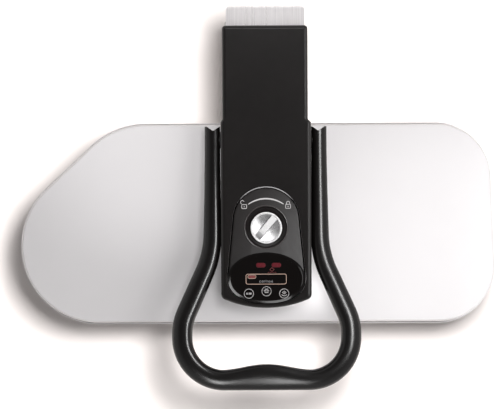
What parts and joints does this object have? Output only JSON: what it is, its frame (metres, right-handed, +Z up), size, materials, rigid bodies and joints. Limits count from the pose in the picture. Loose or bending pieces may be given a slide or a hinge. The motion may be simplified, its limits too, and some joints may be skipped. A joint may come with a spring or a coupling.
{
  "type": "steam ironing press",
  "caption": "Tabletop steam ironing press, closed: hinged arm with control panel and lock knob, heated plate with a tapered end, loop lever, padded board and base.",
  "frame": {"origin": "bottom centre of the closed press's box, on the surface under the feet", "axes": "+X to the right along the pressing plate, +Y away from the user to the hinge, +Z up; the user stands at -Y by the loop lever"},
  "size_m": [0.64, 0.503, 0.2268],
  "materials": {
    "white_enamel": "satin",
    "black_plastic": "satin",
    "gloss_black": "gloss",
    "brushed_steel": "brushed",
    "zinc_steel": "zinc plated",
    "chrome": "polished",
    "aluminium": "satin",
    "white_plastic": "satin",
    "grey_plastic": "matte",
    "red_lamp": "gloss",
    "rubber": "matte",
    "felt": "matte",
    "cloth": "matte",
    "brass": "satin",
    "smoke_plastic": "smoked",
    "circuit_board": "matte",
    "hose_rubber": "matte"
  },
  "bodies": {
    "base": {"base_shell": "white_plastic", "base_floor": "grey_plastic", "foot_front_left": "rubber", "foot_front_right": "rubber", "foot_rear_left": "rubber", "foot_rear_right": "rubber", "foot_column": "rubber", "power_inlet": "grey_plastic", "board_post_front_left": "zinc_steel", "board_post_front_right": "zinc_steel", "board_post_rear_left": "zinc_steel", "board_post_rear_right": "zinc_steel", "board_pan": "zinc_steel", "board_pad": "felt", "board_cloth": "cloth", "column_frame": "zinc_steel", "hinge_pin": "chrome", "column_cover": "black_plastic", "lift_spring_left": "zinc_steel", "lift_spring_right": "zinc_steel", "stop_rod": "rubber"},
    "arm": {"arm_channel": "brushed_steel", "arm_cover": "black_plastic", "control_fascia": "black_plastic", "display_lens": "gloss_black", "display_unit": "grey_plastic", "control_board": "circuit_board", "knob_bezel": "black_plastic", "rod_guide": "zinc_steel", "bar_pivot_pin": "chrome", "tank_dock": "grey_plastic", "water_pump": "grey_plastic", "supply_hose": "hose_rubber", "steam_hose": "hose_rubber", "lamp_left": "red_lamp", "lamp_right": "red_lamp", "shaft_bush_left": "brass", "shaft_bush_right": "brass"},
    "plate": {"heating_plate": "aluminium", "heater_element": "zinc_steel", "chamber_lid": "aluminium", "felt_layer": "felt", "thermostat": "brass", "plate_cover": "white_enamel", "plate_yoke": "zinc_steel", "yoke_pin": "chrome", "steam_pipe": "brass"},
    "lever": {"lever_loop": "black_plastic", "lever_shaft": "chrome", "cam_sleeve": "zinc_steel"},
    "pressure_bar": {"pressure_bar": "zinc_steel"},
    "knob": {"lock_knob": "chrome", "knob_spindle": "zinc_steel"},
    "lock_rod": {"lock_rod": "zinc_steel"},
    "tank": {"water_tank": "smoke_plastic", "tank_cap": "rubber"},
    "key_left": {"key_left": "gloss_black"},
    "key_middle": {"key_middle": "gloss_black"},
    "key_right": {"key_right": "gloss_black"}
  },
  "joints": [
    {"name": "arm_lift", "type": "hinge", "parent": "base", "child": "arm", "pos_m": [0.011, 0.214, 0.1303], "axis": [-1, 0, 0], "range_deg": [0, 45]},
    {"name": "lever_swing", "type": "hinge", "parent": "arm", "child": "lever", "pos_m": [0.011, 0.076, 0.1853], "axis": [-1, 0, 0], "range_deg": [0, 30]},
    {"name": "plate_press", "type": "slide", "parent": "arm", "child": "plate", "axis": [0, 0, 1], "range_m": [0, 0.005]},
    {"name": "bar_swing", "type": "hinge", "parent": "arm", "child": "pressure_bar", "pos_m": [0.011, 0.15, 0.16638], "axis": [-1, 0, 0], "range_deg": [0, 1.55]},
    {"name": "knob_turn", "type": "hinge", "parent": "arm", "child": "knob", "pos_m": [0.011, -0.0395, 0.2175], "axis": [0, 0, 1], "range_deg": [0, 90]},
    {"name": "rod_slide", "type": "slide", "parent": "arm", "child": "lock_rod", "axis": [0, -1, 0], "range_m": [0, 0.0085]},
    {"name": "tank_slide", "type": "slide", "parent": "arm", "child": "tank", "axis": [0, -1, 0], "range_m": [0, 0.09]},
    {"name": "key_left_press", "type": "slide", "parent": "arm", "child": "key_left", "axis": [0, 0, -1], "range_m": [0, 0.0008], "stiffness_N_per_m": 300, "springref_m": -0.0005},
    {"name": "key_middle_press", "type": "slide", "parent": "arm", "child": "key_middle", "axis": [0, 0, -1], "range_m": [0, 0.0008], "stiffness_N_per_m": 300, "springref_m": -0.0005},
    {"name": "key_right_press", "type": "slide", "parent": "arm", "child": "key_right", "axis": [0, 0, -1], "range_m": [0, 0.0008], "stiffness_N_per_m": 300, "springref_m": -0.0005}
  ],
  "couplings": [
    {"joint": "plate_press", "follows": "lever_swing", "m_per_rad": 0.009549},
    {"joint": "bar_swing", "follows": "lever_swing", "ratio": 0.05172},
    {"joint": "rod_slide", "follows": "knob_turn", "m_per_rad": 0.005402}
  ]
}
